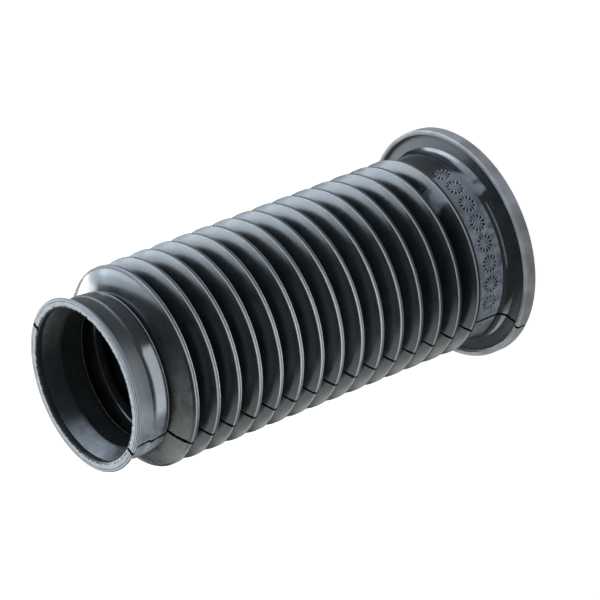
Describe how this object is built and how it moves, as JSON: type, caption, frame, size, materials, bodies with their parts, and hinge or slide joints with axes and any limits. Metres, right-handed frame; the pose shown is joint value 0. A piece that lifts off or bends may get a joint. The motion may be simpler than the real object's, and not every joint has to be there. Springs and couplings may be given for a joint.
{
  "type": "shock absorber boot",
  "caption": "Moulded rubber bellows boot: V folds between a tapered gripping collar and a beaded flange, made to cover a damper rod.",
  "frame": {"origin": "centre of the flange's seat, on the boot's axis", "axes": "+Z along the boot's axis, from the flange to the collar; +X and -X point at the two mould parting lines"},
  "size_m": [0.0792, 0.0792, 0.1532],
  "materials": {
    "moulded_rubber": "black moulded rubber, satin on the folds, matt and paler on the cut end face and the flange bead"
  },
  "bodies": {
    "root": {"bellows_boot": "moulded_rubber"}
  },
  "joints": []
}
